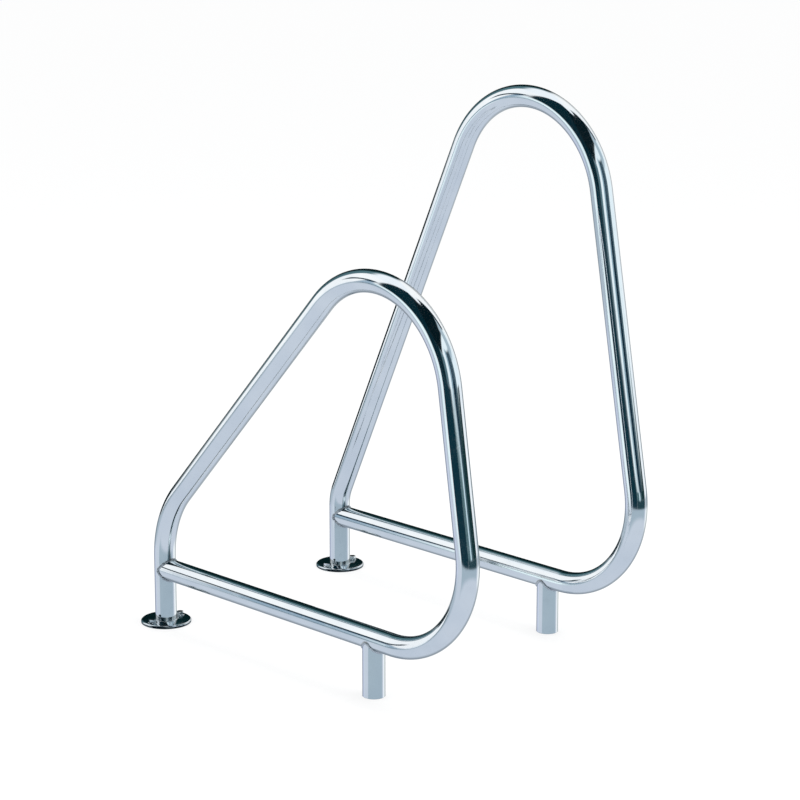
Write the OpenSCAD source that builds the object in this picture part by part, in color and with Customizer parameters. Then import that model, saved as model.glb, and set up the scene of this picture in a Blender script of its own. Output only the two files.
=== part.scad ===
// Pool handrail set: a low rail and a high rail, each one bent stainless tube closed into a loop.
// X runs along each rail from its flanged leg towards its stub leg, Y runs across the walkway from the
// low rail to the high rail, and Z is up. The origin is on the deck, under the low rail's flanged leg.

/* [Tube] */
// Outside diameter of every tube
tube_d = 43; // [40:0.5:45]
// Wall thickness of every tube
tube_wall = 1.5; // [1:0.1:2.5]

/* [Set] */
// Distance between the two rails, centre to centre
rail_gap = 500; // [400:5:700]
// How far the high rail is set back from the low rail, along the rails
stagger = 28; // [0:1:60]
// Distance from the flanged leg to the stub leg, centre to centre
leg_spacing = 597; // [580:1:605]
// Height of the lower bar's centreline above the deck
bar_height = 111; // [105:1:120]

/* [Low rail] */
// Overall height of the low rail
low_height = 804; // [790:1:900]
// Height of the corner where the low rail's leg turns into its incline
low_knee_height = 217; // [215:1:235]
// Centreline radius of the low rail's knee
low_knee_radius = 205; // [150:5:205]
// Lean of the low rail's incline from the vertical
low_lean = 42.6; // [41:0.1:44]
// Outward slope of the low rail's far side from the vertical
low_slope = 8.6; // [7:0.1:10]

/* [High rail] */
// Overall height of the high rail
high_height = 1074; // [1060:1:1200]
// Height of the corner where the high rail's leg turns into its incline
high_knee_height = 155; // [155:1:175]
// Centreline radius of the high rail's knee
high_knee_radius = 100; // [80:5:100]
// Lean of the high rail's incline from the vertical
high_lean = 24.6; // [23:0.1:26]
// Outward slope of the high rail's far side from the vertical
high_slope = 10; // [9:0.1:11]

/* [Bends] */
// Centreline radius of the top bends and of the bottom bends
bend_radius = 190; // [170:5:195]

/* [Flanges] */
// Diameter of a base flange
flange_d = 100; // [98:1:130]
// Thickness of a base flange
flange_t = 6; // [4:0.5:10]
// Height and width of the bevel round a flange's upper edge
flange_bevel = 2; // [0.5:0.5:2]
// Distance between the two screw holes of a flange
screw_spacing = 72; // [71:1:76]
// Diameter of a screw hole
hole_d = 9; // [8.6:0.1:10]

/* [Screws] */
// Thread diameter of a screw
screw_d = 8; // [7.8:0.1:8.2]
// Length of a screw under its head
screw_length = 55; // [45:5:80]
// Distance across the flats of a screw's head
head_flats = 13; // [12:0.5:13]
// Height of a screw's head
head_h = 5.3; // [4:0.1:6]
// Diameter of a washer
washer_d = 17; // [15:0.5:18]
// Thickness of a washer
washer_t = 1.6; // [1:0.1:2]

/* [Welds] */
// Size of the weld beads where two tubes meet
tube_weld = 2.5; // [1.5:0.1:3]
// Size of the weld bead between a leg and its flange
flange_weld = 2; // [1.5:0.1:3]

/* [Hidden] */
$fn = 96;

tube_r = tube_d / 2;
bore_r = tube_r - tube_wall;
// One rail's own numbers: overall height, knee height, knee radius, lean and slope
LOW = [low_height, low_knee_height, low_knee_radius, low_lean, low_slope];
HIGH = [high_height, high_knee_height, high_knee_radius, high_lean, high_slope];
HIGH_PLACE = [-stagger, rail_gap, 0];

polished = "#c3ccd3";
flange_steel = "#5d7078";
weld_steel = "#8d9498";
screw_steel = "#b4bbbf";

// The plain shank is thinner than the thread, and the thread starts just under the flange
shank_d = screw_d - 0.9;
thread_top = -1;
tip_bevel = 1.2;
washer_bore_d = screw_d + 0.4;
head_bevel = 0.8;

// The hairline at each end of a bend: its width and depth, and the length of the ring that bridges it
hairline = 0.1;
hairline_depth = 0.4;
ring_length = 2;

// A bead's cross-section is cut down to this far each side of the line where two tubes meet
bead_half = 0.75 * tube_weld;

// The centreline of a rail: it leaves the flange straight up, turns at the knee into the incline, goes
// over the top bend, down the far side, round the bottom bend and back along the lower bar to its own
// leg. Every bend turns the same way, from +Z towards +X.
function height(rail) = rail[0];
function knee_height(rail) = rail[1];
function knee_radius(rail) = rail[2];
function lean(rail) = rail[3];
function slope(rail) = rail[4];

// Centre of the top bend, which reaches the overall height and touches the incline
function top_z(rail) = height(rail) - tube_r - bend_radius;
function top_rise(rail) = top_z(rail) - knee_height(rail);
function top_x(rail) = (bend_radius + top_rise(rail) * sin(lean(rail))) / cos(lean(rail));

// Lengths of the four straights. A bend starts one tangent length before its corner.
function knee_tangent(rail) = knee_radius(rail) * tan(lean(rail) / 2);
function leg_run(rail) = knee_height(rail) - knee_tangent(rail) - flange_t;
function incline_run(rail) =
    top_x(rail) * sin(lean(rail)) + top_rise(rail) * cos(lean(rail)) - knee_tangent(rail);
function side_run(rail) = (top_z(rail) - bar_height - bend_radius) / cos(slope(rail));
function bar_run(rail) = top_x(rail) + side_run(rail) * sin(slope(rail));

// Each straight with the bend after it: [length, radius, turn]
function course(rail) = [
    [leg_run(rail), knee_radius(rail), lean(rail)],
    [incline_run(rail), bend_radius, 180 - lean(rail) - slope(rail)],
    [side_run(rail), bend_radius, 90 + slope(rail)],
    [bar_run(rail), 0, 0],
];

// A straight tube up from the origin
module straight_tube(length) {
    difference() {
        cylinder(r = tube_r, h = length);
        translate([0, 0, -1])
            cylinder(r = bore_r, h = length + 2);
    }
}

// A bent tube that starts at the origin, going up
module bent_tube(radius, turn) {
    translate([radius, 0, 0])
        mirror([1, 0, 0])
            rotate([90, 0, 0])
                rotate_extrude(angle = turn, $fn = 192)
                    translate([radius, 0])
                        difference() {
                            circle(r = tube_r);
                            circle(r = bore_r);
                        }
}

// Moves its children to the far end of a bend that starts at the origin, going up
module after_bend(radius, turn) {
    translate([radius, 0, 0])
        rotate([0, turn, 0])
            translate([-radius, 0, 0])
                children();
}

// A ring inside the tube's wall that carries it across the hairline where a bend begins or ends
module wall_ring() {
    translate([0, 0, -ring_length / 2])
        difference() {
            cylinder(r = tube_r - hairline_depth, h = ring_length);
            translate([0, 0, -1])
                cylinder(r = bore_r + hairline_depth, h = ring_length + 2);
        }
}

// The last straight. It is cut to the leg's round side, and its end sits half way into the leg's wall.
module coped_tube(length) {
    difference() {
        straight_tube(length);
        translate([0, 0, length])
            rotate([0, 90, 0])
                cylinder(r = (tube_r + bore_r) / 2, h = 2 * tube_d, center = true);
    }
}

// The straights and bends of a course, each one from where the one before it ends
module tube_course(legs, i = 0) {
    length = legs[i][0];
    radius = legs[i][1];
    turn = legs[i][2];
    start = i == 0 ? 0 : hairline;
    translate([0, 0, start])
        if (i == len(legs) - 1)
            coped_tube(length - start);
        else
            straight_tube(length - start - hairline);
    if (i < len(legs) - 1)
        translate([0, 0, length]) {
            wall_ring();
            bent_tube(radius, turn);
            after_bend(radius, turn) {
                wall_ring();
                tube_course(legs, i + 1);
            }
        }
}

// A whole rail: one bent tube whose far end is welded to its own leg
module rail_tube(rail) {
    color(polished)
        translate([0, 0, flange_t])
            tube_course(course(rail));
}

// Solid round bars along the flanged leg, the stub leg and the lower bar
module leg_bar(r) {
    cylinder(r = r, h = 2 * bar_height);
}
module stub_bar(r) {
    translate([leg_spacing, 0, 0])
        cylinder(r = r, h = bar_height);
}
module lower_bar(r) {
    translate([0, 0, bar_height])
        rotate([0, 90, 0])
            cylinder(r = r, h = leg_spacing + 2 * tube_d);
}

// A short open tube that stands on the deck and is coped to sit under the lower bar
module stub_leg() {
    color(polished)
        difference() {
            translate([leg_spacing, 0, 0])
                straight_tube(bar_height);
            lower_bar(tube_r);
        }
}

// A round plate with a bevelled upper edge and two screw holes, one each side of the rail
module base_flange() {
    flange_r = flange_d / 2;
    color(flange_steel)
        difference() {
            rotate_extrude()
                polygon([
                    [0, 0],
                    [flange_r, 0],
                    [flange_r, flange_t - flange_bevel],
                    [flange_r - flange_bevel, flange_t],
                    [0, flange_t],
                ]);
            at_screws()
                translate([0, 0, -1])
                    cylinder(d = hole_d, h = flange_t + 2);
        }
}

// Places its children at both screw holes of a flange
module at_screws() {
    for (side = [-1, 1])
        translate([0, side * screw_spacing / 2, 0])
            children();
}

// Two crossed slabs that lie along the two half ellipses where equal tubes meet at a right angle
module joint_slabs() {
    reach = 3 * tube_d;
    for (tilt = [45, -45])
        rotate([0, tilt, 0])
            cube([reach, reach, 2 * bead_half], center = true);
}

// The bead round the coped end of the lower bar
module bar_weld() {
    color(weld_steel)
        difference() {
            intersection() {
                leg_bar(tube_r + tube_weld);
                lower_bar(tube_r + tube_weld);
                translate([0, 0, bar_height])
                    joint_slabs();
            }
            leg_bar(tube_r);
            lower_bar(tube_r);
        }
}

// The bead round the coped upper end of the stub leg
module stub_weld() {
    color(weld_steel)
        difference() {
            intersection() {
                stub_bar(tube_r + tube_weld);
                lower_bar(tube_r + tube_weld);
                translate([leg_spacing, 0, bar_height])
                    joint_slabs();
            }
            stub_bar(tube_r);
            lower_bar(tube_r);
        }
}

// The bead round the bottom of the flanged leg: a fillet with a hollow face
module flange_weld_bead() {
    color(weld_steel)
        translate([0, 0, flange_t])
            rotate_extrude()
                translate([tube_r, 0])
                    difference() {
                        square(flange_weld);
                        translate([flange_weld * 1.2, flange_weld * 1.2])
                            circle(r = flange_weld);
                    }
}

// A hexagon-head screw: bevelled head, plain shank through the flange, and thread below it
module screw() {
    head_bottom = flange_t + washer_t;
    tip = head_bottom - screw_length;
    corner_r = head_flats / 2 / cos(30);
    translate([0, 0, head_bottom])
        intersection() {
            cylinder(r = corner_r, h = head_h, $fn = 6);
            cylinder(r1 = corner_r + head_h, r2 = corner_r - head_bevel, h = head_h);
        }
    translate([0, 0, thread_top])
        cylinder(d = shank_d, h = head_bottom - thread_top);
    translate([0, 0, tip + tip_bevel])
        cylinder(d = screw_d, h = thread_top - tip - tip_bevel);
    translate([0, 0, tip])
        cylinder(d1 = screw_d - 2 * tip_bevel, d2 = screw_d, h = tip_bevel);
}

module flange_screws() {
    color(screw_steel)
        at_screws()
            screw();
}

module flange_washers() {
    color(screw_steel)
        at_screws()
            translate([0, 0, flange_t])
                difference() {
                    cylinder(d = washer_d, h = washer_t);
                    translate([0, 0, -1])
                        cylinder(d = washer_bore_d, h = washer_t + 2);
                }
}

rail_tube(LOW);  // low_rail_tube
stub_leg();  // low_stub_leg
base_flange();  // low_base_flange
bar_weld();  // low_bar_weld
stub_weld();  // low_stub_weld
flange_weld_bead();  // low_flange_weld
flange_screws();  // low_flange_screws
flange_washers();  // low_flange_washers
translate(HIGH_PLACE) rail_tube(HIGH);  // high_rail_tube
translate(HIGH_PLACE) stub_leg();  // high_stub_leg
translate(HIGH_PLACE) base_flange();  // high_base_flange
translate(HIGH_PLACE) bar_weld();  // high_bar_weld
translate(HIGH_PLACE) stub_weld();  // high_stub_weld
translate(HIGH_PLACE) flange_weld_bead();  // high_flange_weld
translate(HIGH_PLACE) flange_screws();  // high_flange_screws
translate(HIGH_PLACE) flange_washers();  // high_flange_washers
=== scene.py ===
"""Pool handrail set: a low and a high rail of polished stainless tube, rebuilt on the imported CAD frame."""

from math import ceil, cos, pi, radians, sin, sqrt, tan

import bpy
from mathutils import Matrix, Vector
from mathutils.geometry import tessellate_polygon
from mathutils.noise import noise


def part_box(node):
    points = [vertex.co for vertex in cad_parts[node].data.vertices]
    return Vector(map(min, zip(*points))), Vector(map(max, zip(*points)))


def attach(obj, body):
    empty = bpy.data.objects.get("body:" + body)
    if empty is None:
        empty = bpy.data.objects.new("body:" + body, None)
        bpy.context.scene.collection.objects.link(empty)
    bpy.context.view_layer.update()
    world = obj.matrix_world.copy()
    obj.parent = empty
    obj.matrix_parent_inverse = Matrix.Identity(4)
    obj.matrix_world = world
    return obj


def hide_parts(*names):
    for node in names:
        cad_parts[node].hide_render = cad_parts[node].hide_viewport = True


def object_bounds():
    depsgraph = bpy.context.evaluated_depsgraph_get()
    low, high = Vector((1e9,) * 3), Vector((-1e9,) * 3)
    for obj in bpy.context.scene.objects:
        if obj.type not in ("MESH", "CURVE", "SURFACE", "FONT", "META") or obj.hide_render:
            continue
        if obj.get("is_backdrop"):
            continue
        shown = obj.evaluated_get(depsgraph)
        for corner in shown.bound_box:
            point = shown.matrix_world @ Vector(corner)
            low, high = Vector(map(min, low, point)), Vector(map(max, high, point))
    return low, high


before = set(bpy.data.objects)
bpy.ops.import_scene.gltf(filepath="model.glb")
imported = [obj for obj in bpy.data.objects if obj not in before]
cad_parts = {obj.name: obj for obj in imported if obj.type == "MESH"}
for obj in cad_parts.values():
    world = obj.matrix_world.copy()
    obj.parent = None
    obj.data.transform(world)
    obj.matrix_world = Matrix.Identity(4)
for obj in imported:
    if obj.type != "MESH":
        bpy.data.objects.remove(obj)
CAD_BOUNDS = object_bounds()

MM = 0.001

# ---------------------------------------------------------------------------------------------------------
# The design, in metres and degrees. These are the CAD's own values, apart from the beads' sizes.
# ---------------------------------------------------------------------------------------------------------
TUBE_R = 21.5 * MM
BORE_R = 20.0 * MM
MID_WALL_R = (TUBE_R + BORE_R) / 2
LEG_SPACING = 597 * MM
BAR_HEIGHT = 111 * MM
BEND_RADIUS = 190 * MM
FLANGE_R = 50 * MM
FLANGE_T = 6 * MM
FLANGE_BEVEL = 2 * MM
SCREW_SPACING = 72 * MM
HOLE_R = 4.5 * MM
THREAD_R = 4 * MM
THREAD_DEPTH = 0.65 * MM
THREAD_PITCH = 1.25 * MM
SHANK_R = 3.55 * MM
SCREW_LENGTH = 55 * MM
HEAD_FLATS = 13 * MM
HEAD_H = 5.3 * MM
WASHER_R = 8.5 * MM
WASHER_BORE_R = 4.2 * MM
WASHER_T = 1.6 * MM
# A bead's nominal radius, how strongly it ripples and wanders, and how far apart its ripples are
TUBE_WELD, TUBE_WELD_RELIEF = 2.9 * MM, 1.5
FLANGE_WELD, FLANGE_WELD_RELIEF = 1.3 * MM, 0.5
RIPPLE_PITCH = 3.0 * MM

# Each rail: overall height, height and radius of the knee, lean of the incline, slope of the far side, and
# how far its two screws are turned
RAILS = {
    "low": {"height": 804 * MM, "knee": 217 * MM, "knee_radius": 205 * MM, "lean": 42.6, "slope": 8.6,
            "screw_turns": (9, -14)},
    "high": {"height": 1074 * MM, "knee": 155 * MM, "knee_radius": 100 * MM, "lean": 24.6, "slope": 10.0,
             "screw_turns": (26, 17)},
}

# Mesh fineness: points round a tube, hole, washer, screw and bead, and steps along a tube and a bead
ROUND = 96
HOLE_ROUND = 32
WASHER_ROUND = 64
SCREW_ROUND = 72
BEAD_ROUND = 20
BEND_STEP = radians(1.25)
STRAIGHT_STEP = 40 * MM
BEAD_STEP = 0.45 * MM


# ---------------------------------------------------------------------------------------------------------
# Mesh helpers
# ---------------------------------------------------------------------------------------------------------
def make_piece(name, verts, faces, grain, sharp_angle, material, replaced):
    """A mesh that stands for one CAD node. grain is one vector a vertex, along which the finish runs."""
    mesh = bpy.data.meshes.new(name)
    mesh.from_pydata(verts, [], faces)
    mesh.validate()
    for polygon in mesh.polygons:
        polygon.use_smooth = True
    mesh.set_sharp_from_angle(angle=radians(sharp_angle))
    attribute = mesh.attributes.new("grain", "FLOAT_VECTOR", "POINT")
    attribute.data.foreach_set("vector", [c for g in grain for c in g])
    mesh.materials.append(material)
    piece = bpy.data.objects.new(name, mesh)
    bpy.context.scene.collection.objects.link(piece)
    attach(piece, "root")
    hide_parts(replaced)
    return piece


def grid_faces(rows, cols, first=0, close_rows=False, flip=False):
    """Quads of a grid whose columns wrap round. The rows wrap too when close_rows is set."""
    faces = []
    for i in range(rows if close_rows else rows - 1):
        a = first + i * cols
        b = first + (i + 1) % rows * cols
        for j in range(cols):
            k = (j + 1) % cols
            quad = (a + j, a + k, b + k, b + j)
            faces.append(quad[::-1] if flip else quad)
    return faces


def band_faces(ring_a, ring_b, flip=False):
    """Quads between two closed rings of vertex numbers."""
    n = len(ring_a)
    quads = [(ring_a[j], ring_a[(j + 1) % n], ring_b[(j + 1) % n], ring_b[j]) for j in range(n)]
    return [q[::-1] for q in quads] if flip else quads


# ---------------------------------------------------------------------------------------------------------
# Tubes
# ---------------------------------------------------------------------------------------------------------
def course(rail):
    """A rail's straights, each with the bend after it: (length, radius, turn)."""
    lean, slope = radians(rail["lean"]), radians(rail["slope"])
    top_z = rail["height"] - TUBE_R - BEND_RADIUS
    rise = top_z - rail["knee"]
    top_x = (BEND_RADIUS + rise * sin(lean)) / cos(lean)
    knee_tangent = rail["knee_radius"] * tan(lean / 2)
    side = (top_z - BAR_HEIGHT - BEND_RADIUS) / cos(slope)
    return [
        (rail["knee"] - knee_tangent - FLANGE_T, rail["knee_radius"], lean),
        (top_x * sin(lean) + rise * cos(lean) - knee_tangent, BEND_RADIUS, pi - lean - slope),
        (side, BEND_RADIUS, pi / 2 + slope),
        (top_x + side * sin(slope), 0, 0),
    ]


def stations(rail):
    """Points along a rail's centreline: (x, z, heading from +Z towards +X, distance along)."""
    x, z, heading, along = 0.0, FLANGE_T, 0.0, 0.0
    found = [(x, z, heading, along)]
    for length, radius, turn in course(rail):
        steps = max(1, ceil(length / STRAIGHT_STEP))
        for _ in range(steps):
            x += length / steps * sin(heading)
            z += length / steps * cos(heading)
            along += length / steps
            found.append((x, z, heading, along))
        if not radius:
            break
        centre_x, centre_z = x + radius * cos(heading), z - radius * sin(heading)
        steps = ceil(turn / BEND_STEP)
        for _ in range(steps):
            heading += turn / steps
            along += radius * turn / steps
            x, z = centre_x - radius * cos(heading), centre_z + radius * sin(heading)
            found.append((x, z, heading, along))
    return found


def rail_tube(prefix, place, rail, material):
    """A hollow tube swept along the rail's centreline. Its far end is coped to the leg it meets."""
    path = stations(rail)
    verts, grain = [], []
    for radius in (TUBE_R, BORE_R):
        for row, (x, z, heading, along) in enumerate(path):
            last = row == len(path) - 1
            for j in range(ROUND):
                turn = 2 * pi * j / ROUND
                out, across = radius * cos(turn), radius * sin(turn)
                px, pz = x + out * cos(heading), z - out * sin(heading)
                if last:
                    px = sqrt(max(MID_WALL_R**2 - across**2, 0))
                verts.append(place + Vector((px, across, pz)))
                grain.append((out, across, along))
    rows = len(path)
    inner = rows * ROUND
    faces = grid_faces(rows, ROUND, flip=True) + grid_faces(rows, ROUND, inner)
    faces += band_faces(list(range(ROUND)), list(range(inner, inner + ROUND)))
    end = (rows - 1) * ROUND
    faces += band_faces(list(range(end, end + ROUND)), list(range(inner + end, inner + end + ROUND)), True)
    return make_piece(f"{prefix}_tube", verts, faces, grain, 40, material,
                      f"{prefix}_rail_tube")


def stub_leg(prefix, place, material):
    """A short open tube that stands on the deck, its top coped to sit under the lower bar."""
    rim = 0.35 * MM
    heights = [0.0, rim]
    verts, grain = [], []
    for radius, sign in ((TUBE_R, -1), (BORE_R, 1)):
        for k, height in enumerate(heights + [None]):
            for j in range(ROUND):
                turn = 2 * pi * j / ROUND
                r = radius + (sign * rim if k == 0 else 0)
                x, y = r * cos(turn), r * sin(turn)
                z = BAR_HEIGHT - sqrt(max(TUBE_R**2 - y * y, 0)) if height is None else height
                verts.append(place + Vector((LEG_SPACING + x, y, z)))
                grain.append((x, y, z))
    rows = len(heights) + 1
    inner = rows * ROUND
    faces = grid_faces(rows, ROUND) + grid_faces(rows, ROUND, inner, flip=True)
    faces += band_faces(list(range(ROUND)), list(range(inner, inner + ROUND)), True)
    top = (rows - 1) * ROUND
    faces += band_faces(list(range(top, top + ROUND)), list(range(inner + top, inner + top + ROUND)))
    return make_piece(f"{prefix}_stub", verts, faces, grain, 40, material,
                      f"{prefix}_stub_leg")


# ---------------------------------------------------------------------------------------------------------
# Welds
# ---------------------------------------------------------------------------------------------------------
def bead(name, line, outward, size, relief, seed, material, replaced):
    """A weld bead: a closed rope of overlapping ripples laid along line(turn), standing towards
    outward(turn)."""
    probe, nudge = 720, 0.01
    points = [line(2 * pi * i / probe) for i in range(probe)]
    length = sum((points[i] - points[i - 1]).length for i in range(probe))
    rows = ceil(length / BEAD_STEP)
    ripples = round(length / RIPPLE_PITCH)
    verts, grain = [], []
    for i in range(rows):
        turn = 2 * pi * i / rows
        here, before, after = line(turn), line(turn - nudge), line(turn + nudge)
        tangent = (after - before).normalized()
        up = outward(turn).normalized()
        across = tangent.cross(up).normalized()
        up = across.cross(tangent)
        wobble = noise(Vector((cos(turn) * 5, sin(turn) * 5, seed)))
        phase = ripples * i / rows + 0.35 * wobble
        crest = 1 - abs(2 * (phase % 1) - 1) ** 3
        wave = relief * (wobble + crest - 0.5)
        width = size * (0.90 + 0.16 * wave)
        height = size * (0.70 + 0.30 * wave)
        for j in range(BEAD_ROUND):
            around = 2 * pi * j / BEAD_ROUND
            # A ripple is crescent shaped: its middle runs ahead of its edges
            lag = tangent * (0.35 * RIPPLE_PITCH * max(sin(around), 0) ** 2)
            verts.append(here + across * (width * cos(around)) + up * (height * sin(around)) + lag)
            grain.append((width * cos(around), height * sin(around), i * BEAD_STEP))
    faces = grid_faces(rows, BEAD_ROUND, close_rows=True)
    return make_piece(name, verts, faces, grain, 75, material, replaced)


def saddle_line(turn):
    """Where two equal tubes meet at a right angle: distance along the branch, across, along the host.
    The line's two corners are rounded off over a length of blunt."""
    blunt = 3.5 * MM
    along = TUBE_R * cos(turn)
    return (along**4 + blunt**4) ** 0.25, TUBE_R * sin(turn), along


def bar_weld(prefix, place, seed, material):
    """The bead round the coped end of the lower bar, on the flanged leg."""
    def line(turn):
        u, y, v = saddle_line(turn)
        return place + Vector((u, y, BAR_HEIGHT + v))

    def outward(turn):
        u, y, v = saddle_line(turn)
        return Vector((u, y, 0)).normalized() + Vector((0, y, v)).normalized()

    return bead(f"{prefix}_bar_bead", line, outward, TUBE_WELD, TUBE_WELD_RELIEF, seed, material,
                f"{prefix}_bar_weld")


def stub_weld(prefix, place, seed, material):
    """The bead round the coped top of the stub leg, under the lower bar."""
    def line(turn):
        u, y, v = saddle_line(turn)
        return place + Vector((LEG_SPACING + v, y, BAR_HEIGHT - u))

    def outward(turn):
        u, y, v = saddle_line(turn)
        return Vector((0, y, -u)).normalized() + Vector((v, y, 0)).normalized()

    return bead(f"{prefix}_stub_bead", line, outward, TUBE_WELD, TUBE_WELD_RELIEF, seed, material,
                f"{prefix}_stub_weld")


def flange_weld(prefix, place, seed, material):
    """The bead round the foot of the flanged leg."""
    def line(turn):
        return place + Vector((TUBE_R * cos(turn), TUBE_R * sin(turn), FLANGE_T))

    def outward(turn):
        return Vector((cos(turn), sin(turn), 1))

    return bead(f"{prefix}_flange_bead", line, outward, FLANGE_WELD, FLANGE_WELD_RELIEF, seed, material,
                f"{prefix}_flange_weld")


# ---------------------------------------------------------------------------------------------------------
# Flange, washers and screws
# ---------------------------------------------------------------------------------------------------------
def lathe_rings(profile, count, centre=Vector((0, 0, 0))):
    """Rings of points for a profile of (radius, height) pairs turned about an upright axis."""
    rings, grain = [], []
    for r, z in profile:
        for j in range(count):
            turn = 2 * pi * j / count
            rings.append(centre + Vector((r * cos(turn), r * sin(turn), z)))
            grain.append((r, z, 0.0))
    return rings, grain


def base_flange(prefix, place, material):
    """A round plate with a bevelled upper edge, small rounds on its edges and two plain holes."""
    ease, rim_ease = 0.3 * MM, 0.25 * MM
    outside = [
        (FLANGE_R - ease, 0), (FLANGE_R, ease),
        (FLANGE_R, FLANGE_T - FLANGE_BEVEL - ease / 2),
        (FLANGE_R - ease / 2, FLANGE_T - FLANGE_BEVEL + ease / 2),
        (FLANGE_R - FLANGE_BEVEL + ease / 2, FLANGE_T - ease / 2),
        (FLANGE_R - FLANGE_BEVEL - ease / 2, FLANGE_T),
    ]
    verts, grain = lathe_rings(outside, ROUND)
    faces = grid_faces(len(outside), ROUND)
    outer_low = list(range(ROUND))
    outer_top = list(range((len(outside) - 1) * ROUND, len(outside) * ROUND))
    holes_low, holes_top = [], []
    for side in (-1, 1):
        centre = Vector((0, side * SCREW_SPACING / 2, 0))
        hole = [(HOLE_R + rim_ease, 0), (HOLE_R, rim_ease), (HOLE_R, FLANGE_T - rim_ease),
                (HOLE_R + rim_ease, FLANGE_T)]
        first = len(verts)
        rings, ring_grain = lathe_rings(hole, HOLE_ROUND, centre)
        verts += rings
        grain += ring_grain
        faces += grid_faces(len(hole), HOLE_ROUND, first, flip=True)
        holes_low.append(list(range(first, first + HOLE_ROUND)))
        holes_top.append(list(range(len(verts) - HOLE_ROUND, len(verts))))
    # The flat faces between the rim and the holes
    for outer, holes, upward in ((outer_low, holes_low, False), (outer_top, holes_top, True)):
        loops = [outer] + holes
        order = [v for loop in loops for v in loop]
        for tri in tessellate_polygon([[verts[v] for v in loop] for loop in loops]):
            a, b, c = (order[t] for t in tri)
            normal = (verts[b] - verts[a]).cross(verts[c] - verts[a])
            faces.append((a, b, c) if (normal.z > 0) == upward else (a, c, b))
    verts = [place + v for v in verts]
    return make_piece(f"{prefix}_flange", verts, faces, grain, 28, material,
                      f"{prefix}_base_flange")


def flange_washers(prefix, place, material):
    """Two plain washers with stamped edges: the upper outside edge is rolled over."""
    roll, ease = 0.35 * MM, 0.12 * MM
    profile = [
        (WASHER_BORE_R + ease, 0), (WASHER_R - ease, 0), (WASHER_R, ease), (WASHER_R, WASHER_T - roll),
        (WASHER_R - 0.3 * roll, WASHER_T - 0.3 * roll), (WASHER_R - roll, WASHER_T),
        (WASHER_BORE_R + ease, WASHER_T), (WASHER_BORE_R, WASHER_T - ease), (WASHER_BORE_R, ease),
    ]
    verts, grain, faces = [], [], []
    for side in (-1, 1):
        first = len(verts)
        centre = place + Vector((0, side * SCREW_SPACING / 2, FLANGE_T))
        rings, ring_grain = lathe_rings(profile, WASHER_ROUND, centre)
        verts += rings
        grain += ring_grain
        faces += grid_faces(len(profile), WASHER_ROUND, first, close_rows=True)
    return make_piece(f"{prefix}_washers", verts, faces, grain, 35, material,
                      f"{prefix}_flange_washers")


def hexagon(turn):
    """Distance from the axis to the side of the head at an angle."""
    return HEAD_FLATS / 2 / cos((turn + pi / 6) % (pi / 3) - pi / 6)


def screw_rings(twist):
    """Rings of a hexagon-head screw from its tip up to the middle of its head, about its own axis."""
    under_head = FLANGE_T + WASHER_T
    tip = under_head - SCREW_LENGTH
    thread_top, shank_foot = -1.0 * MM, -0.6 * MM
    point, point_ease = 1.2 * MM, 0.9 * MM
    root_r = THREAD_R - THREAD_DEPTH
    turns = [2 * pi * j / SCREW_ROUND for j in range(SCREW_ROUND)]
    rows = [[(0.0, t, tip) for t in turns]]
    rows.append([(root_r - point_ease, t, tip) for t in turns])
    z, step = tip + point, THREAD_PITCH / 8
    while z < thread_top:
        row = []
        for t in turns:
            phase = (z / THREAD_PITCH - t / (2 * pi)) % 1
            crest = min(max(1.25 - 2.5 * abs(phase - 0.5), 0), 1)
            run_out = min((thread_top - z) / THREAD_PITCH, (z - tip) / (2 * point), 1)
            row.append((root_r + THREAD_DEPTH * crest * run_out, t, z))
        rows.append(row)
        z += step
    rows.append([(SHANK_R, t, shank_foot) for t in turns])
    rows.append([(SHANK_R, t, under_head) for t in turns])
    # The head stands on a thin round face
    face_r, step_h, ease = HEAD_FLATS / 2 * 0.95, 0.25 * MM, 0.1 * MM
    rows.append([(face_r, t, under_head) for t in turns])
    rows.append([(face_r, t, under_head + step_h) for t in turns])
    rows.append([(hexagon(t) - ease, t, under_head + step_h) for t in turns])
    rows.append([(hexagon(t), t, under_head + step_h + ease) for t in turns])
    # The crown is turned to a cone, which cuts the corners of the hexagon down in arcs
    crown, fall = under_head + HEAD_H, tan(radians(28))
    dish_width, dish_depth = 1.2 * MM, 0.05 * MM
    rows.append([(hexagon(t), t, crown - (hexagon(t) - face_r) * fall) for t in turns])
    rows.append([(face_r, t, crown) for t in turns])
    rows.append([(face_r - dish_width, t, crown - dish_depth) for t in turns])
    rows.append([(0.0, t, crown - dish_depth) for t in turns])
    return [[(r * cos(t + twist), r * sin(t + twist), z, r) for r, t, z in row] for row in rows]


def flange_screws(prefix, place, screw_turns, material):
    """Two hexagon-head screws with real threads."""
    verts, grain, faces = [], [], []
    for side, screw_turn in zip((-1, 1), screw_turns):
        first = len(verts)
        centre = place + Vector((0, side * SCREW_SPACING / 2, 0))
        rows = screw_rings(radians(screw_turn))
        # The first and last rows are single points on the axis
        for row in (rows[0][:1], *rows[1:-1], rows[-1][:1]):
            for x, y, z, r in row:
                verts.append(centre + Vector((x, y, z)))
                grain.append((r, z, 0.0))
        rings = len(rows) - 2
        faces += grid_faces(rings, SCREW_ROUND, first + 1)
        last = first + 1 + rings * SCREW_ROUND
        for j in range(SCREW_ROUND):
            k = (j + 1) % SCREW_ROUND
            faces.append((first, first + 1 + k, first + 1 + j))
            faces.append((last, last - SCREW_ROUND + j, last - SCREW_ROUND + k))
    return make_piece(f"{prefix}_screws", verts, faces, grain, 24, material,
                      f"{prefix}_flange_screws")


# ---------------------------------------------------------------------------------------------------------
# Materials
# ---------------------------------------------------------------------------------------------------------
def srgb(r, g, b):
    """A colour given in 0-255 display values, as linear RGBA."""
    def linear(c):
        c /= 255
        return c / 12.92 if c <= 0.04045 else ((c + 0.055) / 1.055) ** 2.4

    return (linear(r), linear(g), linear(b), 1.0)


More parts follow.
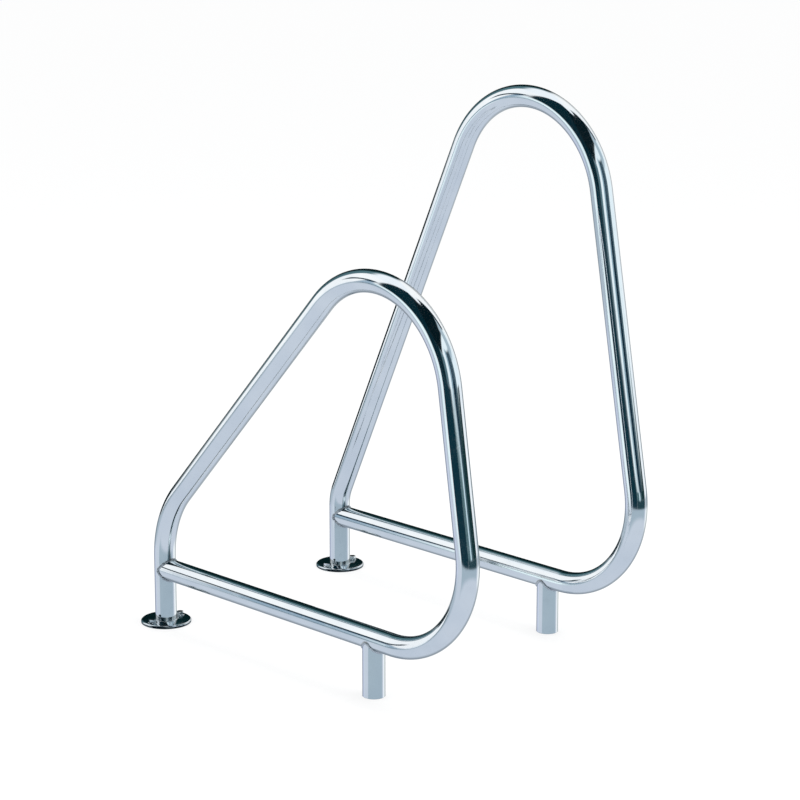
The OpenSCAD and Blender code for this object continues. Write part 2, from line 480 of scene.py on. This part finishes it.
class Nodes:
    """Short calls for building a node tree."""

    def __init__(self, tree):
        self.tree = tree

    def add(self, kind, inputs=None, **settings):
        node = self.tree.nodes.new(kind)
        for key, value in settings.items():
            setattr(node, key, value)
        for key, value in (inputs or {}).items():
            if isinstance(value, bpy.types.NodeSocket):
                self.tree.links.new(value, node.inputs[key])
            else:
                node.inputs[key].default_value = value
        return node

    def math(self, operation, a, b=0.0, c=0.0):
        return self.add("ShaderNodeMath", {0: a, 1: b, 2: c}, operation=operation).outputs[0]

    def ramp(self, value, low, high, out_low=0.0, out_high=1.0):
        inputs = {"Value": value, "From Min": low, "From Max": high, "To Min": out_low, "To Max": out_high}
        return self.add("ShaderNodeMapRange", inputs, interpolation_type="SMOOTHSTEP").outputs[0]

    def mix(self, factor, a, b):
        node = self.add("ShaderNodeMix", data_type="RGBA")
        for socket, value in ((node.inputs[0], factor), (node.inputs[6], a), (node.inputs[7], b)):
            if isinstance(value, bpy.types.NodeSocket):
                self.tree.links.new(value, socket)
            else:
                socket.default_value = value
        return node.outputs[2]

    def noise(self, vector, scale, detail=3.0, roughness=0.5):
        inputs = {"Vector": vector, "Scale": scale, "Detail": detail, "Roughness": roughness}
        return self.add("ShaderNodeTexNoise", inputs).outputs[0]


HAZE_COLOUR = srgb(206, 208, 208)
# Painted reflection: the dark colour laid along outlines
EDGE_REFLECTION_COLOUR = srgb(58, 78, 84)
# Painted shade: the dark colour laid on upright faces
RIM_SHADE_COLOUR = srgb(20, 40, 46)
# Painted shade: the dark colour laid in corners and hollows
CORNER_SHADE_COLOUR = srgb(30, 42, 48)
# Where the painted dark reflection along an outline starts and is full, from 0 face on to 1 edge on, and how
# dark it is
EDGE_START, EDGE_END, EDGE_DEPTH = 0.50, 0.78, 0.85
# How far from a corner the painted shade reaches
CORNER_SHADE_REACH = 5 * MM
SMEAR_DEPTH = 4e-6


def steel(name, tint, shade, rough, grain_scale, grain_depth, haze, corner_shade, rim=0.0):
    """Stainless steel. tint and shade are the two ends of its colour, rough its roughness range,
    grain_scale and grain_depth how fine and how deep its polishing marks are, haze how much handling
    and dried water dull it, and the last two how much painted shade darkens its corners and its upright
    faces."""
    material = bpy.data.materials.new(name)
    material.use_nodes = True
    tree = material.node_tree
    tree.nodes.clear()
    n = Nodes(tree)
    place = n.add("ShaderNodeTexCoord").outputs["Object"]
    grain = n.add("ShaderNodeAttribute", attribute_name="grain").outputs["Vector"]
    fine = n.add("ShaderNodeVectorMath", {0: grain, 1: grain_scale}, operation="MULTIPLY").outputs[0]
    marks = n.noise(fine, 1.0, 4.0, 0.6)
    patches = n.noise(place, 9.0, 4.0, 0.55)
    smears = n.noise(place, 38.0, 5.0, 0.65)
    spots = n.add("ShaderNodeTexVoronoi", {"Vector": place, "Scale": 160.0}).outputs["Distance"]
    # Dried drops: small rings that show only where the patches allow them
    drop = n.math("MULTIPLY", n.ramp(spots, 0.30, 0.10), n.ramp(patches, 0.52, 0.66))
    dull = n.math("ADD", n.math("MULTIPLY", n.ramp(smears, 0.45, 0.75), haze),
                  n.math("MULTIPLY", drop, haze * 0.8))
    roughness = n.ramp(patches, 0.30, 0.70, rough[0], rough[1])
    roughness = n.math("ADD", roughness, n.math("MULTIPLY", n.math("SUBTRACT", marks, 0.5), rough[1]))
    roughness = n.math("MAXIMUM", n.math("ADD", roughness, dull), 0.02)
    colour = n.mix(n.ramp(patches, 0.25, 0.75), tint, shade)
    colour = n.mix(n.math("MULTIPLY", dull, 1.5), colour, HAZE_COLOUR)
    # A painted reflection: the last sliver before a round edge turns away is painted dark,
    # standing for the dim far end of the studio
    edge = n.add("ShaderNodeLayerWeight", {"Blend": 0.5}).outputs["Facing"]
    colour = n.mix(n.ramp(edge, EDGE_START, EDGE_END, 0.0, EDGE_DEPTH), colour, EDGE_REFLECTION_COLOUR)
    # Painted shade: upright faces, such as a flange's rim, are painted dark
    if rim:
        normal = n.add("ShaderNodeNewGeometry").outputs["Normal"]
        lift = n.math("ABSOLUTE", n.add("ShaderNodeSeparateXYZ", {0: normal}).outputs["Z"])
        colour = n.mix(n.ramp(lift, 0.45, 0.25, 0.0, rim), colour, RIM_SHADE_COLOUR)
    # Painted shade: the colour darkens where ambient occlusion finds corners, such as between a weld bead's
    # ripples
    corner = n.add("ShaderNodeAmbientOcclusion", {"Distance": CORNER_SHADE_REACH}, samples=4).outputs["AO"]
    colour = n.mix(n.ramp(corner, 0.75, 0.25, 0.0, corner_shade), colour, CORNER_SHADE_COLOUR)
    height = n.math("ADD", n.math("MULTIPLY", marks, grain_depth), n.math("MULTIPLY", smears, SMEAR_DEPTH))
    bump = n.add("ShaderNodeBump", {"Height": height, "Strength": 1.0, "Distance": 1.0}).outputs[0]
    surface = n.add("ShaderNodeBsdfPrincipled", {
        "Base Color": colour, "Metallic": 1.0, "Roughness": roughness, "Normal": bump,
    })
    n.add("ShaderNodeOutputMaterial", {"Surface": surface.outputs[0]})
    return material


def make_materials():
    """Every finish of the rails."""
    return {
        "tube": steel("polished_tube", tint=srgb(240, 243, 245), shade=srgb(228, 233, 238),
                      rough=(0.05, 0.085), grain_scale=(900, 900, 12), grain_depth=1.2e-6,
                      haze=0.05, corner_shade=0.35),
        "flange": steel("polished_flange", tint=srgb(226, 232, 236), shade=srgb(210, 218, 224),
                        rough=(0.06, 0.10), grain_scale=(2600, 2600, 1), grain_depth=3.0e-7,
                        haze=0.03, corner_shade=0.20, rim=0.85),
        "weld": steel("weld_bead", tint=srgb(226, 228, 232), shade=srgb(178, 186, 198),
                      rough=(0.14, 0.26), grain_scale=(1500, 1500, 1500), grain_depth=2.5e-5,
                      haze=0.10, corner_shade=0.85),
        "dressed_weld": steel("dressed_weld", tint=srgb(226, 230, 234), shade=srgb(200, 208, 214),
                              rough=(0.08, 0.14), grain_scale=(1500, 1500, 1500), grain_depth=4.0e-6,
                              haze=0.05, corner_shade=0.40),
        "screw": steel("screw_steel", tint=srgb(232, 236, 238), shade=srgb(216, 220, 224),
                       rough=(0.08, 0.14), grain_scale=(4200, 4200, 1), grain_depth=1.0e-6,
                       haze=0.05, corner_shade=0.20),
    }


# ---------------------------------------------------------------------------------------------------------
# Studio
# ---------------------------------------------------------------------------------------------------------
# What stands round the rails, as the steel sees it: left and right azimuth, lower and upper elevation, edge
# softness, all in degrees, and the colour. A later one covers an earlier one. An "upright" one is a flat
# panel that faces the middle of its azimuths, so its upper edge falls away to both sides.
SURROUNDINGS = [
    ("box", "dark_room", -131, -58, -2, 82, 4, srgb(5, 36, 46)),
    ("box", "dark_ceiling", -84, 74, 24, 80, 3, srgb(2, 22, 29)),
    ("upright", "front_panel", -46, 79, -3, 47, 2.5, srgb(238, 250, 254)),
    ("box", "teal_card", -64, -44, -1, 24, 6, srgb(86, 115, 124)),
    ("box", "pale_edge", -23, -11, 0, 34, 4, srgb(136, 166, 180)),
    ("box", "navy_stripe", -11, 13, -4, 33, 3, srgb(10, 42, 58)),
    ("box", "navy_gap", 0, 3, 6, 31, 2, srgb(112, 142, 160)),
    ("box", "grey_card", 13, 26, -3, 33, 4, srgb(78, 104, 114)),
    ("box", "panel_shade", 24, 60, 22, 52, 6, srgb(172, 190, 200)),
    ("box", "softbox", 79, 126, -3, 88, 2, srgb(254, 255, 255)),
    ("box", "teal_wall", 128, 188, -2, 49, 10, srgb(84, 118, 126)),
    ("box", "teal_flag", 124, 156, -3, 40, 5, srgb(12, 42, 45)),
    ("box", "white_gap", 186, 228, -4, 44, 4, srgb(252, 254, 255)),
    ("box", "pale_corner", -134, -110, -18, 5, 6, srgb(236, 252, 255)),
    ("box", "near_left", -204, -132, -20, -10, 2, srgb(176, 190, 201)),
    ("box", "near_right", 52, 128, -20, -9, 3, srgb(176, 187, 195)),
    ("box", "blue_post", -137, -133, -10, 13, 2, srgb(146, 170, 188)),
    ("box", "dark_shelf", -152, -132, 12, 19, 2, srgb(16, 50, 62)),
    ("box", "post_top", -137, -133, 8, 13, 2, srgb(26, 58, 80)),
    ("box", "post_foot", -137, -133, -10, -7, 2, srgb(64, 88, 104)),
    ("box", "floor_line", -162, -143, -11, -9, 1, srgb(60, 82, 90)),
    ("box", "front_horizon", -106, -37, -17, 0, 4, srgb(12, 48, 60)),
    ("box", "horizon_teal", -38, -14, -9, -1, 2, srgb(78, 108, 114)),
    ("box", "horizon_pale", -14, -3, -9, -0.5, 2, srgb(200, 224, 233)),
    ("box", "horizon_grey", -3, 11, -9, -1, 2, srgb(70, 98, 106)),
    ("box", "horizon_dark", 11, 50, -9, 0, 3, srgb(20, 50, 53)),
    ("box", "horizon_low", -37, 50, -17, -8, 2, srgb(36, 64, 72)),
    ("box", "back_horizon", 128, 190, -10, -2, 1.5, srgb(20, 42, 46)),
]
# The floor, as the steel sees it, is set out in the same way
FLOOR_ZONES = [
    ("box", "dim_floor", -104, 46, -24, -10, 6, srgb(165, 182, 194)),
    ("box", "bright_floor", 62, 136, -26, -4, 8, srgb(250, 254, 255)),
    ("box", "far_floor", 106, 136, -46, -20, 12, srgb(240, 246, 252)),
    ("box", "lilac_floor", 146, 204, -24, -10, 5, srgb(204, 212, 232)),
]
STUDIO_AIR = srgb(246, 251, 255)
STUDIO_FLOOR = srgb(200, 209, 221)
STUDIO_GLOW = 1.08
# The elevations between which the air gives way to the floor
AIR_END, FLOOR_START = -14.5, -17.0

# The floor, as the camera sees it: lit paint, with a glow of its own that keeps it near white
AIR_WHITE = (1.0, 1.0, 1.0, 1.0)
PAINT_WHITE = (0.93, 0.935, 0.94, 1.0)
GLOW_SHARE = 0.72
FLOOR_HALF = 40.0
FLOOR_DROP = 0.3 * MM

# The camera: the point it looks at, how far round from the rails' side view and how far above level it
# stands in degrees, how far off, and its lens and sensor in millimetres
CAMERA_AIM = (0.2468, 0.4092, 0.4267)
CAMERA_TURN, CAMERA_RISE = 45.694, 14.350
CAMERA_DISTANCE, CAMERA_REACH = 5.8176, 200.0
CAMERA_LENS, CAMERA_SENSOR = 131.5, 36.0


def lay_out(n, azimuth, elevation, ground, zones):
    """Lays zones of colour over a ground colour, by the direction's azimuth and elevation."""
    colour = n.mix(0.0, ground, ground)
    for shape, _, left, right, lower, upper, soft, zone_colour in zones:
        middle, half = (left + right) / 2, (right - left) / 2
        aside = n.math("WRAP", n.math("SUBTRACT", azimuth, middle), -180.0, 180.0)
        rise = elevation
        if shape == "upright":
            slant = n.math("MAXIMUM", n.math("COSINE", n.math("RADIANS", aside)), 0.01)
            height = n.math("TANGENT", n.math("RADIANS", elevation))
            rise = n.math("DEGREES", n.math("ARCTANGENT", n.math("DIVIDE", height, slant)))
        off_middle = n.math("ABSOLUTE", aside)
        off_height = n.math("ABSOLUTE", n.math("SUBTRACT", rise, (lower + upper) / 2))
        tall = (upper - lower) / 2
        inside = n.math("MULTIPLY", n.ramp(off_middle, half + soft / 2, half - soft / 2),
                        n.ramp(off_height, tall + soft / 2, tall - soft / 2))
        colour = n.mix(inside, colour, zone_colour)
    return colour


def studio_group():
    """A node group that gives the studio's colour in a direction, as the steel sees it."""
    tree = bpy.data.node_groups.new("studio", "ShaderNodeTree")
    tree.interface.new_socket("Direction", in_out="INPUT", socket_type="NodeSocketVector")
    tree.interface.new_socket("Color", in_out="OUTPUT", socket_type="NodeSocketColor")
    n = Nodes(tree)
    direction = n.add("NodeGroupInput").outputs[0]
    unit = n.add("ShaderNodeVectorMath", {0: direction}, operation="NORMALIZE").outputs[0]
    axes = n.add("ShaderNodeSeparateXYZ", {0: unit}).outputs
    azimuth = n.math("DEGREES", n.math("ARCTAN2", axes[1], axes[0]))
    elevation = n.math("DEGREES", n.math("ARCSINE", axes[2]))
    air = lay_out(n, azimuth, elevation, STUDIO_AIR, SURROUNDINGS)
    floor = lay_out(n, azimuth, elevation, STUDIO_FLOOR, FLOOR_ZONES)
    colour = n.mix(n.ramp(elevation, AIR_END, FLOOR_START), air, floor)
    n.add("NodeGroupOutput", {0: colour})
    return tree


def by_ray(n, studio, direction, plain):
    """A shader that shows the studio to reflections and something plain to everything else."""
    group = n.add("ShaderNodeGroup", node_tree=studio)
    n.tree.links.new(direction, group.inputs[0])
    glow = n.add("ShaderNodeEmission", {"Color": group.outputs[0], "Strength": STUDIO_GLOW}).outputs[0]
    glossy = n.add("ShaderNodeLightPath").outputs["Is Glossy Ray"]
    return n.add("ShaderNodeMixShader", {0: glossy, 1: plain, 2: glow}).outputs[0]


def make_world(studio):
    """White air to the camera and to matt surfaces, and the studio to the steel."""
    world = bpy.data.worlds.new("studio_world")
    bpy.context.scene.world = world
    world.use_nodes = True
    world.node_tree.nodes.clear()
    n = Nodes(world.node_tree)
    direction = n.add("ShaderNodeTexCoord").outputs["Generated"]
    air = n.add("ShaderNodeBackground", {"Color": AIR_WHITE, "Strength": 1.0}).outputs[0]
    n.add("ShaderNodeOutputWorld", {"Surface": by_ray(n, studio, direction, air)})


def make_floor(studio):
    """A pale floor, just under the feet, that catches soft contact shadows."""
    half = FLOOR_HALF
    mesh = bpy.data.meshes.new("floor")
    corners = [(-half, -half, 0), (half, -half, 0), (half, half, 0), (-half, half, 0)]
    mesh.from_pydata(corners, [], [(0, 1, 2, 3)])
    floor = bpy.data.objects.new("floor", mesh)
    floor.location.z = -FLOOR_DROP
    bpy.context.scene.collection.objects.link(floor)
    material = bpy.data.materials.new("floor")
    material.use_nodes = True
    material.node_tree.nodes.clear()
    n = Nodes(material.node_tree)
    incoming = n.add("ShaderNodeNewGeometry").outputs["Incoming"]
    direction = n.add("ShaderNodeVectorMath", {0: incoming, "Scale": -1.0}, operation="SCALE").outputs[0]
    paint = n.add("ShaderNodeBsdfDiffuse", {"Color": PAINT_WHITE}).outputs[0]
    glow = n.add("ShaderNodeEmission", {"Color": AIR_WHITE, "Strength": 1.0}).outputs[0]
    plain = n.add("ShaderNodeMixShader", {0: GLOW_SHARE, 1: paint, 2: glow}).outputs[0]
    n.add("ShaderNodeOutputMaterial", {"Surface": by_ray(n, studio, direction, plain)})
    mesh.materials.append(material)
    floor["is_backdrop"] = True


def make_light(name, place, aim, size, power):
    """A soft area light. The steel's reflections come from the studio, so it isn't seen in them."""
    data = bpy.data.lights.new(name, "AREA")
    data.shape = "DISK"
    data.size = size
    data.energy = power
    light = bpy.data.objects.new(name, data)
    light.location = place
    light.rotation_euler = (Vector(aim) - Vector(place)).to_track_quat("-Z", "Y").to_euler()
    light.visible_glossy = False
    light.visible_camera = False
    bpy.context.scene.collection.objects.link(light)


def make_camera():
    """A camera at the photograph's viewing angle, with a long lens."""
    turn, down = radians(CAMERA_TURN), radians(CAMERA_RISE)
    forward = Vector((-sin(turn) * cos(down), cos(turn) * cos(down), -sin(down)))
    data = bpy.data.cameras.new("camera")
    data.sensor_width = CAMERA_SENSOR
    data.lens = CAMERA_LENS
    data.clip_end = CAMERA_REACH
    camera = bpy.data.objects.new("camera", data)
    camera.location = Vector(CAMERA_AIM) - forward * CAMERA_DISTANCE
    camera.rotation_euler = forward.to_track_quat("-Z", "Y").to_euler()
    bpy.context.scene.collection.objects.link(camera)
    bpy.context.scene.camera = camera


# ---------------------------------------------------------------------------------------------------------
# Assembly
# ---------------------------------------------------------------------------------------------------------
def leg_foot(prefix):
    """Where a rail's flanged leg meets the deck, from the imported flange."""
    low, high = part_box(f"{prefix}_base_flange")
    return Vector(((low.x + high.x) / 2, (low.y + high.y) / 2, low.z))


materials = make_materials()
for seed, (prefix, rail) in enumerate(RAILS.items()):
    foot = leg_foot(prefix)
    rail_tube(prefix, foot, rail, materials["tube"])
    stub_leg(prefix, foot, materials["tube"])
    base_flange(prefix, foot, materials["flange"])
    bar_weld(prefix, foot, 3.0 + seed, materials["weld"])
    stub_weld(prefix, foot, 7.0 + seed, materials["weld"])
    flange_weld(prefix, foot, 11.0 + seed, materials["dressed_weld"])
    flange_washers(prefix, foot, materials["screw"])
    flange_screws(prefix, foot, rail["screw_turns"], materials["screw"])

studio = studio_group()
make_world(studio)
make_floor(studio)
make_light("key", (2.2, 1.0, 3.4), (0.3, 0.25, 0.3), 2.4, 60.0)
make_light("fill", (-1.8, -2.4, 2.6), (0.3, 0.25, 0.4), 2.8, 35.0)
make_camera()
bpy.context.scene.view_settings.view_transform = "Standard"


def plain(bounds):
    """A box as plain lists of numbers."""
    return [[float(c) for c in corner] for corner in bounds]


{"cad": plain(CAD_BOUNDS), "visual": plain(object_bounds())}
